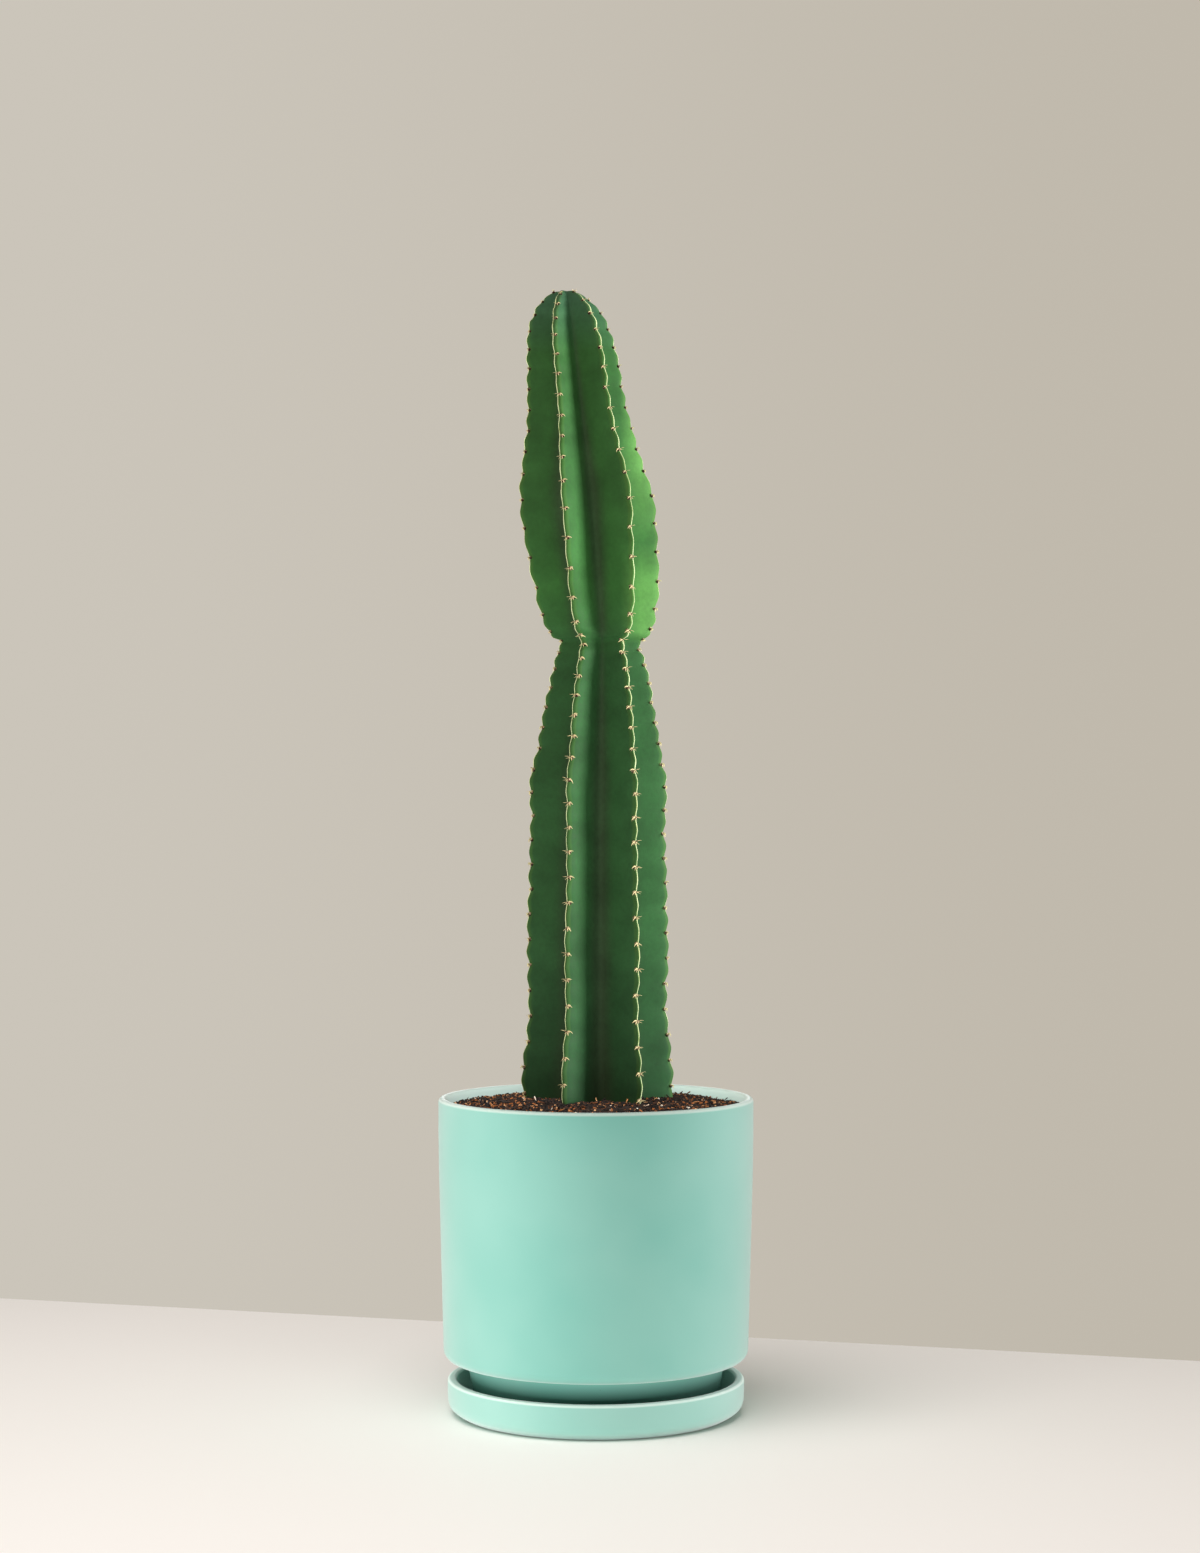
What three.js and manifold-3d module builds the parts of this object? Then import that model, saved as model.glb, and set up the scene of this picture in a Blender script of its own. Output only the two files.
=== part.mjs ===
// Potted tall cactus: a ribbed column of two years' growth in a glazed cylinder pot on a saucer.
// Millimetres, +Z up. The origin is the centre of the saucer's underside, and z = 0 is the ground.
import * as THREE from 'three';
import { mergeVertices } from 'three/addons/utils/BufferGeometryUtils.js';
import Module from 'manifold-3d';

const wasm = await Module();
wasm.setup();

// ---- Driving dimensions ----

// Clearance wherever one piece rests on or in another.
const REST_GAP = 0.3;

// Pot. Its body is a cylinder with a straight band at the top and a slight taper below it.
const POT_RADIUS = 105;
const POT_HEIGHT = 202.7;
const POT_WALL = 5.7;
const POT_FLOOR = 8;
const POT_BAND = 35;
const POT_TAPER = 3.7;
const BAND_EASE = 12;
const LIP_FILLET = 2.6;
const SHOULDER_FILLET = 6.5;
const HOLLOW_FILLET = 5;

// The pot's foot is set back under the body's lower edge and narrows towards the saucer.
const FOOT_HEIGHT = 29.7;
const FOOT_SETBACK = 15.3;
const FOOT_TAPER = 5.5;
const FOOT_RING = 9;
const FOOT_RECESS = 2;
const FOOT_FILLET = 1.2;
const UNDERCUT_FILLET = 2;
const DRAIN_RADIUS = 9;

// Saucer. The trough is the water channel between the top of the foot and the saucer's wall.
const TROUGH = 6.5;
const SAUCER_WALL = 6.2;
const SAUCER_HEIGHT = 23.3;
const SAUCER_FLOOR = 4.5;
const SAUCER_RECESS = 1.5;
const SAUCER_RING = 9;
const SAUCER_UNDERCUT = 5.2;
const SAUCER_FILLET = 3;
const SAUCER_EDGE = 1.2;

// Soil. It is low at the pot's wall and banked up round the stem.
const SOIL_BELOW_RIM = 6.5;
const SOIL_BANK = 6;
const SOIL_BANK_INSET = 7.5;
const SOIL_UNEVEN = 0.9;

// Stem. The lower growth stands in the soil, and the upper one starts at a narrow waist.
const RIBS = 6;
const LOWER_GROWTH = 303;
const UPPER_GROWTH = 236;
const LOWER_RADIUS = 50;
const UPPER_RADIUS = 45;
const WAIST_RADIUS = 26;
const RIB_THICKNESS = 1.6;
const VALLEY_SHARE = 0.48;
const AREOLE_PITCH = 15;
const CREST_NOTCH = 1.7;
const STEM_OFFSET = 1.2;
const RIB_START = THREE.MathUtils.degToRad(4);
const UPPER_TWIST = THREE.MathUtils.degToRad(6);
const UPPER_LEAN = THREE.MathUtils.degToRad(5.8);
const LEAN_LENGTH = 30;

// Buried part of the stem, and its stout roots.
const BURIED_DEPTH = 48;
const ROOTS = 5;
const ROOT_THICK = 5;
const ROOT_TIP = 1.5;
const ROOT_DROP = 25;
const ROOT_MARGIN = 14;

// Facets.
const ROUND_SIDES = 48;
const FILLET_STEPS = 3;
const SOIL_RINGS = 8;
const ROOT_SIDES = 6;
const ROOT_RINGS = 4;

// ---- Places worked out from the dimensions ----

const saucerFloorTop = SAUCER_RECESS + SAUCER_FLOOR;
const potBase = saucerFloorTop + REST_GAP;
const rimHeight = potBase + POT_HEIGHT;
const shoulderHeight = potBase + FOOT_HEIGHT;
const bodyLowRadius = POT_RADIUS - POT_TAPER;
const footTopRadius = bodyLowRadius - FOOT_SETBACK;
const footLowRadius = footTopRadius - FOOT_TAPER;
const potInnerRadius = POT_RADIUS - POT_WALL;
const saucerInnerRadius = footTopRadius + TROUGH;
const saucerRadius = saucerInnerRadius + SAUCER_WALL;
const soilEdgeHeight = rimHeight - SOIL_BELOW_RIM;
const soilTopHeight = soilEdgeHeight + SOIL_BANK;
const waistHeight = soilTopHeight + LOWER_GROWTH;
const tipHeight = waistHeight + UPPER_GROWTH;
const crownHeight = soilTopHeight - BURIED_DEPTH;

// ---- Materials ----

function glazedStoneware() {
  return new THREE.MeshStandardMaterial({ color: '#9ccfc1', roughness: 0.42, metalness: 0 });
}

function pottingSoil() {
  return new THREE.MeshStandardMaterial({ color: '#4e392b', roughness: 0.95, metalness: 0 });
}

function cactusSkin() {
  return new THREE.MeshStandardMaterial({ color: '#47733f', roughness: 0.55, metalness: 0 });
}

// ---- Shared geometry ----

// Outline through [radius, height, fillet] corners, with each filleted corner eased into a curve.
function filletedOutline(corners) {
  const path = new THREE.Path();
  corners.forEach(([radius, height, fillet = 0], i) => {
    const corner = new THREE.Vector2(radius, height);
    if (i === 0) {
      path.moveTo(corner.x, corner.y);
      return;
    }
    if (!fillet) {
      path.lineTo(corner.x, corner.y);
      return;
    }
    const before = pointTowards(corner, corners[i - 1], fillet);
    const after = pointTowards(corner, corners[i + 1], fillet);
    path.lineTo(before.x, before.y);
    path.quadraticCurveTo(corner.x, corner.y, after.x, after.y);
  });
  return path.getPoints(FILLET_STEPS);
}

// The point that lies a distance from a corner, on the way to the next one.
function pointTowards(corner, [radius, height], distance) {
  const way = new THREE.Vector2(radius, height).sub(corner);
  return corner.clone().addScaledVector(way.normalize(), distance);
}

// A piece turned about the Z axis from its outline.
function turned(outline) {
  const geometry = new THREE.LatheGeometry(outline, ROUND_SIDES);
  return geometry.rotateX(Math.PI / 2);
}

// The same surface with its shared vertices merged and its flat triangles left out.
function welded(geometry) {
  const bare = geometry.clone();
  bare.deleteAttribute('normal');
  bare.deleteAttribute('uv');
  const merged = mergeVertices(bare, 1e-4);
  const index = Array.from(merged.index.array);
  const kept = [];
  for (let i = 0; i < index.length; i += 3) {
    const [a, b, c] = index.slice(i, i + 3);
    if (a !== b && b !== c && c !== a) {
      kept.push(a, b, c);
    }
  }
  merged.setIndex(kept);
  return merged;
}

// The surface pushed out along its normals, for a cavity that clears the piece inside it.
function swollen(geometry, distance) {
  const skin = welded(geometry);
  skin.computeVertexNormals();
  const position = skin.attributes.position;
  const normal = skin.attributes.normal;
  for (let i = 0; i < position.count; i += 1) {
    const point = new THREE.Vector3().fromBufferAttribute(position, i);
    const out = new THREE.Vector3().fromBufferAttribute(normal, i);
    point.addScaledVector(out, distance);
    position.setXYZ(i, point.x, point.y, point.z);
  }
  return skin;
}

function solidOf(geometry) {
  const skin = welded(geometry);
  return new wasm.Manifold(new wasm.Mesh({
    numProp: 3,
    vertProperties: new Float32Array(skin.attributes.position.array),
    triVerts: new Uint32Array(skin.index.array),
  }));
}

function geometryOf(solid) {
  const mesh = solid.getMesh();
  const geometry = new THREE.BufferGeometry();
  geometry.setAttribute('position', new THREE.BufferAttribute(mesh.vertProperties, 3));
  geometry.setIndex(new THREE.BufferAttribute(mesh.triVerts, 1));
  geometry.computeVertexNormals();
  return geometry;
}

function namedMesh(name, geometry, material) {
  const mesh = new THREE.Mesh(geometry, material);
  mesh.name = name;
  return mesh;
}

// ---- Saucer and pot ----

function saucer() {
  const lip = SAUCER_WALL / 2;
  const ringRadius = saucerRadius - SAUCER_UNDERCUT;
  const ringInnerRadius = ringRadius - SAUCER_RING;
  const outline = filletedOutline([
    [0, SAUCER_RECESS],
    [ringInnerRadius - SAUCER_RECESS, SAUCER_RECESS],
    [ringInnerRadius, 0],
    [ringRadius, 0, SAUCER_EDGE],
    [saucerRadius, SAUCER_UNDERCUT, SAUCER_EDGE],
    [saucerRadius, SAUCER_HEIGHT, lip],
    [saucerInnerRadius, SAUCER_HEIGHT, lip],
    [saucerInnerRadius, saucerFloorTop, SAUCER_FILLET],
    [0, saucerFloorTop],
  ]);
  return namedMesh('saucer', turned(outline), glazedStoneware());
}

// Corners of the pot's hollow, from the rim down to the floor, moved in by a gap.
function potHollow(gap) {
  return [
    [potInnerRadius - gap, rimHeight - POT_BAND],
    [bodyLowRadius - POT_WALL - gap, shoulderHeight + POT_FLOOR + gap, HOLLOW_FILLET],
    [footTopRadius - POT_WALL - gap, shoulderHeight + POT_FLOOR + gap, HOLLOW_FILLET],
    [footLowRadius - POT_WALL - gap, potBase + POT_FLOOR + gap, HOLLOW_FILLET],
  ];
}

function pot() {
  const lip = Math.min(LIP_FILLET, POT_WALL / 2);
  const ringInnerRadius = footLowRadius - FOOT_RING;
  const outline = filletedOutline([
    [DRAIN_RADIUS, potBase + FOOT_RECESS],
    [ringInnerRadius - FOOT_RECESS, potBase + FOOT_RECESS],
    [ringInnerRadius, potBase],
    [footLowRadius, potBase, FOOT_FILLET],
    [footTopRadius, shoulderHeight, UNDERCUT_FILLET],
    [bodyLowRadius, shoulderHeight, SHOULDER_FILLET],
    [POT_RADIUS, rimHeight - POT_BAND, BAND_EASE],
    [POT_RADIUS, rimHeight, lip],
    [potInnerRadius, rimHeight, lip],
    ...potHollow(0),
    [DRAIN_RADIUS, potBase + POT_FLOOR],
    [DRAIN_RADIUS, potBase + FOOT_RECESS],
  ]);
  return namedMesh('pot', turned(outline), glazedStoneware());
}

// ---- Cactus ----

// Outlines as [share of the length, share of the radius]. This one is the buried base.
const BURIED_SHAPE = [[0.12, 0.55], [0.55, 0.9]];

// From the soil to the waist.
const LOWER_SHAPE = [
  [0.07, 1.005], [0.19, 0.925], [0.33, 0.945], [0.6, 0.905],
  [0.69, 0.92], [0.77, 0.83], [0.89, 0.706], [0.96, 0.61],
];

// From the waist to the tip.
const UPPER_SHAPE = [
  [0.04, 0.74], [0.085, 0.83], [0.165, 0.915], [0.29, 0.975], [0.41, 1],
  [0.52, 0.88], [0.655, 0.745], [0.8, 0.665], [0.88, 0.615], [0.936, 0.505], [0.975, 0.32],
];

// Outline of a rib's crest, from the buried base up to the tip, with two rings to an areole.
function crestOutline() {
  const corners = [
    new THREE.Vector2(0, crownHeight),
    ...BURIED_SHAPE.map(([along, share]) =>
      new THREE.Vector2(share * LOWER_RADIUS, crownHeight + along * BURIED_DEPTH)),
    new THREE.Vector2(LOWER_RADIUS, soilTopHeight),
    ...LOWER_SHAPE.map(([along, share]) =>
      new THREE.Vector2(share * LOWER_RADIUS, soilTopHeight + along * LOWER_GROWTH)),
    new THREE.Vector2(WAIST_RADIUS, waistHeight),
    ...UPPER_SHAPE.map(([along, share]) =>
      new THREE.Vector2(share * UPPER_RADIUS, waistHeight + along * UPPER_GROWTH)),
    new THREE.Vector2(0, tipHeight),
  ];
  const curve = new THREE.SplineCurve(corners);
  const rings = 2 * Math.round(curve.getLength() / AREOLE_PITCH);
  return curve.getSpacedPoints(rings);
}

// Where the middle of the stem lies at a height: plumb up to the waist, then leaning to -X.
function stemMiddle(height) {
  const above = Math.max(0, height - waistHeight);
  const leaning = above * above / (above + LEAN_LENGTH);
  return STEM_OFFSET - Math.tan(UPPER_LEAN) * leaning;
}

// How far the ribs have turned round the stem at a height.
function ribTwist(height) {
  return UPPER_TWIST * THREE.MathUtils.smoothstep(height, waistHeight, waistHeight + UPPER_GROWTH / 2);
}

// Radius between a crest (half-pitch 0) and the next valley (half-pitch 1), as a share of the crest's.
function ribShare(halfPitch, valleyShare) {
  const fin = ((1 + Math.cos(Math.PI * halfPitch)) / 2) ** RIB_THICKNESS;
  return valleyShare + (1 - valleyShare) * fin;
}

// Places round one rib, in half-pitches from its crest: two on the crest, one in the next valley.
const RIB_STEPS = [0.1, 0.5, 1, 1.5, 1.9];

function stemGeometry() {
  const outline = crestOutline();
  const around = RIBS * RIB_STEPS.length;
  const geometry = new THREE.LatheGeometry(outline, around);
  const position = geometry.attributes.position;
  const ribAngle = 2 * Math.PI / RIBS;
  for (let side = 0; side <= around; side += 1) {
    const rib = Math.floor(side / RIB_STEPS.length) % RIBS;
    const step = RIB_STEPS[side % RIB_STEPS.length];
    const halfPitch = step > 1 ? 2 - step : step;
    const nearestRib = step > 1 ? rib + 1 : rib;
    outline.forEach((point, ring) => {
      const { x: crest, y: height } = point;
      const above = THREE.MathUtils.smoothstep(height, crownHeight, soilTopHeight);
      const share = ribShare(halfPitch, THREE.MathUtils.lerp(1, VALLEY_SHARE, above));
      const notch = (ring + nearestRib) % 2 ? CREST_NOTCH : 0;
      const onCrest = Math.max(0, 1 - 2 * halfPitch) * above * Math.min(1, crest / UPPER_RADIUS);
      const radius = Math.max(0, crest * share - notch * onCrest);
      const angle = RIB_START + ribTwist(height) + ribAngle * (rib + step / 2);
      position.setXYZ(
        side * outline.length + ring,
        stemMiddle(height) + radius * Math.cos(angle),
        radius * Math.sin(angle),
        height,
      );
    });
  }
  return geometry;
}

// One root: a tapering limb that starts inside the stem's buried base and droops outwards.
// With a gap it is that much thicker and longer, which is the space that it takes in the soil.
function rootGeometry(number, gap) {
  const reach = potInnerRadius - ROOT_MARGIN - Math.abs(STEM_OFFSET);
  const geometry = new THREE.CylinderGeometry(ROOT_TIP, ROOT_THICK, reach, ROOT_SIDES, ROOT_RINGS);
  geometry.translate(0, reach / 2, 0);
  geometry.rotateZ(-Math.PI / 2);
  const position = geometry.attributes.position;
  for (let i = 0; i < position.count; i += 1) {
    const y = position.getY(i);
    const z = position.getZ(i);
    const across = Math.hypot(y, z);
    const thicker = across > 0.01 ? (across + gap) / across : 1;
    const atTip = position.getX(i) > reach - 1;
    const x = position.getX(i) + (atTip ? gap : 0);
    position.setXYZ(i, x, y * thicker, z * thicker - ROOT_DROP * (x / reach) ** 2);
  }
  geometry.rotateZ(RIB_START + number * 2 * Math.PI / ROOTS);
  return geometry.translate(STEM_OFFSET, 0, crownHeight + 2 * ROOT_THICK);
}

function roots(gap) {
  return Array.from({ length: ROOTS }, (_, number) => solidOf(rootGeometry(number, gap)));
}

function cactusStem() {
  const grown = roots(0).reduce((stem, root) => stem.add(root), solidOf(stemGeometry()));
  return namedMesh('cactus_stem', geometryOf(grown), cactusSkin());
}

// ---- Soil ----

function soilHeight(radius) {
  const bank = 1 - THREE.MathUtils.smoothstep(radius, LOWER_RADIUS - SOIL_BANK_INSET, potInnerRadius);
  return soilEdgeHeight + SOIL_BANK * bank;
}

// Gentle dips and heaps left by watering.
function soilUnevenness(x, y) {
  const broad = Math.sin(x / 12 + 0.8) * Math.cos(y / 15 - 0.4);
  const small = Math.sin((x + 2 * y) / 17) * Math.cos((2 * x - y) / 19);
  return SOIL_UNEVEN * (broad + small) / 2;
}

function soil() {
  const edge = potInnerRadius - REST_GAP;
  const surface = Array.from({ length: SOIL_RINGS }, (_, i) => {
    const radius = edge * (i + 1) / SOIL_RINGS;
    return [radius, soilHeight(radius)];
  });
  const outline = filletedOutline([
    [0, soilTopHeight],
    ...surface,
    ...potHollow(REST_GAP),
    [0, potBase + POT_FLOOR + REST_GAP],
  ]).reverse();
  const geometry = turned(outline);
  const position = geometry.attributes.position;
  for (let i = 0; i < position.count; i += 1) {
    if (position.getZ(i) >= soilEdgeHeight) {
      const lift = soilUnevenness(position.getX(i), position.getY(i));
      position.setZ(i, position.getZ(i) + lift);
    }
  }
  const hollow = [solidOf(swollen(stemGeometry(), REST_GAP)), ...roots(REST_GAP)];
  const planted = hollow.reduce((mass, piece) => mass.subtract(piece), solidOf(geometry));
  return namedMesh('soil', geometryOf(planted), pottingSoil());
}

// ---- Assembly ----

const pottedCactus = new THREE.Group();
pottedCactus.add(saucer(), pot(), soil(), cactusStem());

export default pottedCactus;
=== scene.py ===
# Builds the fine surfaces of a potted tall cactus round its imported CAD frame, and a studio for it.
# Laid out as an add-on: sizes and colours are properties, and each piece has an operator.

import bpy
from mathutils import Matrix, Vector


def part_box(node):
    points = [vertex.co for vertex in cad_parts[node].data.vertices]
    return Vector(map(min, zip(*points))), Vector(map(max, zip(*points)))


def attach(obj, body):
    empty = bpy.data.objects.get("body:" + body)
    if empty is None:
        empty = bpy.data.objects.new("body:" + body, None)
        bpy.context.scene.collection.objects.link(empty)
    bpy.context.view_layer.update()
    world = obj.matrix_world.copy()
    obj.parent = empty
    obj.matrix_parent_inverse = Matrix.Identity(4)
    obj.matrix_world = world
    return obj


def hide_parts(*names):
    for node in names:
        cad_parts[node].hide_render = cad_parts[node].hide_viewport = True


bl_info = {
    "name": "Potted Tall Cactus",
    "version": (1, 0, 0),
    "blender": (4, 5, 0),
    "location": "View3D > Sidebar > Cactus",
    "description": "Makes a ribbed column cactus in a glazed pot and saucer round its CAD frame",
    "category": "Object",
}

import math
import random

import bmesh
import bpy
import numpy as np
from bpy.props import FloatProperty, FloatVectorProperty, IntProperty, PointerProperty
from mathutils import Matrix, Vector, noise

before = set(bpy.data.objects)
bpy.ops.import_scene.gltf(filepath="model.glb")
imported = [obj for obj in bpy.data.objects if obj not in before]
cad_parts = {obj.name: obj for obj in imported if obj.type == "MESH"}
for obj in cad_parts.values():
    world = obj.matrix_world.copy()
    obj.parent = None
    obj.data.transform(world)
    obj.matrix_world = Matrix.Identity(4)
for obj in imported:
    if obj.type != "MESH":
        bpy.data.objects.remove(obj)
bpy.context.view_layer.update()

SAUCER_LOW, SAUCER_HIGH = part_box("saucer")
POT_LOW, POT_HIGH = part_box("pot")
STEM_LOW, STEM_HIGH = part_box("cactus_stem")

MM = 0.001
ROUND_STEPS = 160
CORNER_STEPS = 5
# Roundings this wide are soft curves, which get no pale edge: the glaze doesn't thin there as it
# does over an edge, and no painted highlight is put there.
WIDE_ROUNDING = 3 * MM
# How far down inside the rim the glaze is painted pale, as painted light on the inner wall.
PAINTED_RIM_LIGHT = 6 * MM
# Points closer than this are one point.
SAME_POINT = 0.001 * MM
# Faces of the stem's skin along each rib's width, and along the stem.
SKIN_ACROSS = 28
SKIN_ALONG = 420
# Stations along a corky line.
LINE_STATIONS = 640
# Width of the rings of faces on the soil, and the gap between the soil and the pot.
SOIL_RING = 1.3 * MM
REST_GAP = 0.3 * MM
SEED = 11

# Outlines of the stem as (share of the length, share of the radius): the buried base,
# the older growth from the soil to the waist, and the younger growth from there to the tip.
BURIED_SHAPE = ((0, 0), (0.12, 0.55), (0.55, 0.9))
LOWER_SHAPE = (
    (0, 1), (0.07, 1.005), (0.19, 0.925), (0.33, 0.945), (0.6, 0.905),
    (0.69, 0.92), (0.77, 0.83), (0.89, 0.706), (0.96, 0.61),
)
UPPER_SHAPE = (
    (0.018, 0.69), (0.04, 0.775), (0.085, 0.85), (0.165, 0.925), (0.29, 0.98), (0.41, 1),
    (0.52, 0.89), (0.655, 0.755), (0.8, 0.685), (0.88, 0.625), (0.936, 0.515), (0.975, 0.345),
    (0.996, 0.19), (0.997, 0.12), (0.988, 0.04), (0.986, 0),
)

# Spacing of the areoles in millimetres, by share of the height from the soil to the tip.
# They crowd at the waist, where growth stopped for a winter, and at the growing tip.
AREOLE_SPACING = (
    (-0.1, 17.3), (0, 17.3), (0.17, 17), (0.32, 16.3), (0.43, 14.5), (0.53, 12.6), (0.56, 8.6),
    (0.58, 9.5), (0.6, 17.5), (0.65, 20.3), (0.74, 18.5), (0.8, 14.3), (0.88, 14), (0.95, 12), (
        1, 11
    ),
)
# How far each rib's first areole is above the soil, as a share of the spacing.
AREOLE_START = (0.44, 0.9, 0.62, 0.2, 0.72, 0.12)
# Section of a corky line as shares of half its width and of its height, sunk at its edges.
LINE_SECTION = ((-1, -0.6), (-0.6, 1), (0.6, 1), (1, -0.6), (-1, -0.6))
# How far each rib's corky line runs to the side of its areoles, in millimetres.
LINE_OFFSET = (0.8, -1.4, 1.2, -0.6, -1.7, 1.0)
# The side of each rib that its strongest spines hook towards.
HOOK_SIDE = (-1, 1, -1, 1, 1, -1)
# Share of the smaller spines that have broken off.
LOST_SPINES = 0.18
# Share of the loose soil pieces that stand on end, and how steeply, in radians.
UPENDED = 0.12
UPENDED_TILT = 0.9

# Sharpness of the rounding of the crests and the valleys: higher is sharper.
CREST_SHARPNESS = 16
VALLEY_SHARPNESS = 10
# How strongly the skin's rows of faces crowd towards the crests.
CREST_CROWDING = 1.7
# Radius of the valleys as a share of the crests' at the foot of the buried base.
ROUND_BASE = 0.97

# The table top: half its length and depth, its far edge behind the pot's axis, its turn in degrees,
# and how far it lies below the saucer so that the two faces don't meet.
TABLE_HALF = (2.4, 1.6)
TABLE_EDGE = 0.301
TABLE_TURN = -16.2
TABLE_GAP = 0.2 * MM

# The camera: its place, how many degrees it looks up, and its lens and sensor in millimetres.
EYE = (0.0027, -1.941, 0.403)
LOOKS_UP = 0.584
LENS = 67.33
SENSOR = 36


def linear(hex_colour):
    """An sRGB hex colour as linear red, green and blue, with full alpha."""
    shares = [int(hex_colour[i:i + 2], 16) / 255 for i in (1, 3, 5)]
    return [s / 12.92 if s <= 0.04045 else ((s + 0.055) / 1.055) ** 2.4 for s in shares] + [1]



def length(name, description, metres):
    return FloatProperty(name=name, description=description, default=metres, min=0, unit="LENGTH")


def angle(name, description, degrees):
    return FloatProperty(
        name=name, description=description, default=math.radians(degrees), unit="ROTATION"
    )


def share(name, description, value):
    return FloatProperty(
        name=name, description=description, default=value, min=0, max=1, subtype="FACTOR"
    )


def colour(name, description, hex_colour):
    return FloatVectorProperty(
        name=name, description=description, default=linear(hex_colour), size=4, min=0, max=1,
        subtype="COLOR",
    )


# ---- Sizes and colours ----


class CactusPotSizes(bpy.types.PropertyGroup):
    rim_radius: length("Rim radius", "Outside of the pot's straight band", POT_HIGH.x)
    rim_height: length("Rim height", "Top of the pot above the ground", POT_HIGH.z)
    base_height: length("Base height", "Underside of the pot's foot above the ground", POT_LOW.z)
    wall: length("Wall", "Thickness of the pot's wall", 5.7 * MM)
    band: length("Straight band", "Depth below the rim where the taper begins", 35 * MM)
    taper: length("Taper", "How much the body draws in by its lower edge", 3.7 * MM)
    lip_round: length("Lip rounding", "Rounding of the rim's edges", 2.6 * MM)
    shoulder_round: length("Shoulder rounding", "Rounding of the body's lower edge", 6.5 * MM)
    foot_height: length("Foot height", "Height of the set-back foot", 29.7 * MM)
    foot_setback: length("Foot setback", "From the body's lower edge in to the foot", 15.3 * MM)
    foot_taper: length("Foot taper", "How much the foot narrows towards the saucer", 5.5 * MM)
    foot_ring: length("Foot ring", "Width of the ring under the foot", 9 * MM)
    foot_recess: length("Foot recess", "Depth of the hollow inside the foot ring", 2 * MM)
    floor: length("Floor", "Thickness of the pot's floor", 8 * MM)
    drain_radius: length("Drain hole", "Radius of the hole in the floor", 9 * MM)


class CactusSaucerSizes(bpy.types.PropertyGroup):
    radius: length("Radius", "Outside of the saucer's wall", SAUCER_HIGH.x)
    height: length("Height", "Top of the saucer's wall", SAUCER_HIGH.z)
    wall: length("Wall", "Thickness of the saucer's wall", 6.2 * MM)
    floor_top: length("Floor top", "Top of the floor above the ground", 6 * MM)
    recess: length("Recess", "Hollow under the floor inside the foot ring", 1.5 * MM)
    ring: length("Foot ring", "Width of the ring that it stands on", 9 * MM)
    undercut: length("Undercut", "Rounding under between the wall and the foot ring", 8.6 * MM)
    lip_round: length("Lip rounding", "Rounding of the lip's edges", 2.1 * MM)


class CactusSoilSizes(bpy.types.PropertyGroup):
    below_rim: length("Below rim", "How far the soil is below the rim at the wall", 6.5 * MM)
    bank: length("Bank", "How far the soil rises towards the stem", 6 * MM)
    bank_inset: length("Bank inset", "How far inside the stem's crests the bank is level", 7.5 * MM)
    unevenness: length("Unevenness", "Height of the broad dips and heaps", 0.9 * MM)
    crumb_height: length("Crumb height", "Height of the loose crumbs in the surface", 1.1 * MM)
    crumbs: IntProperty(name="Crumbs", description="Loose dark crumbs", default=6400, min=0)
    chips: IntProperty(
        name="Bark chips", description="Flat bark chips and fibres", default=540, min=0
    )
    perlite: IntProperty(name="Perlite", description="White perlite grains", default=50, min=0)


class CactusStemSizes(bpy.types.PropertyGroup):
    ribs: IntProperty(name="Ribs", description="Ribs round the stem", default=6, min=3)
    lower_growth: length("Lower growth", "From the soil to the waist", 303 * MM)
    upper_growth: length("Upper growth", "From the waist to the tip", 236 * MM)
    buried: length("Buried depth", "Depth of the base below the soil", 48 * MM)
    lower_radius: length("Lower radius", "Crest radius at the soil", 50.4 * MM)
    upper_radius: length("Upper radius", "Largest crest radius of the younger growth", 46 * MM)
    waist_radius: length("Waist radius", "Crest radius at the waist", 27 * MM)
    crest_width: length("Crest width", "Width of the blunt crest of a rib", 3.4 * MM)
    line_width: length("Crest line width", "Width of the corky line on a crest", 1.2 * MM)
    line_height: length("Crest line height", "How far the corky line stands up", 0.28 * MM)
    notch: length("Crest notch", "Depth of the notch that an areole sits in", 1.5 * MM)
    waver: length("Crest waver", "How far a crest sways to its side", 0.42 * MM)
    offset: length("Offset", "Stem's place to the right of the pot's axis", 1.2 * MM)
    lean_start: length("Lean start", "Length over which the lean sets in", 30 * MM)
    bow: length("Bow", "How far the stem bows to the right round its waist", 1.5 * MM)
    bow_reach: length("Bow reach", "How far above and below the waist the bow reaches", 80 * MM)
    valley: share("Valley", "Radius of the valleys as a share of the crests'", 0.46)
    lean: angle("Lean", "Lean of the younger growth", 5.85)
    rib_start: angle("First rib", "Direction of the first rib from the X axis", 4)
    twist: angle("Twist", "Turn of the ribs over the younger growth", 6)


class CactusAreoleSizes(bpy.types.PropertyGroup):
    width: length("Width", "Width of a woolly pad", 3.4 * MM)
    height: length("Height", "Height of a woolly pad", 2.7 * MM)
    thickness: length("Thickness", "How far a pad stands out", 1 * MM)
    spine_length: length("Spine length", "Length of a full-grown spine", 4.7 * MM)
    spine_radius: length("Spine radius", "Radius of a spine at its foot", 0.4 * MM)


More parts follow.
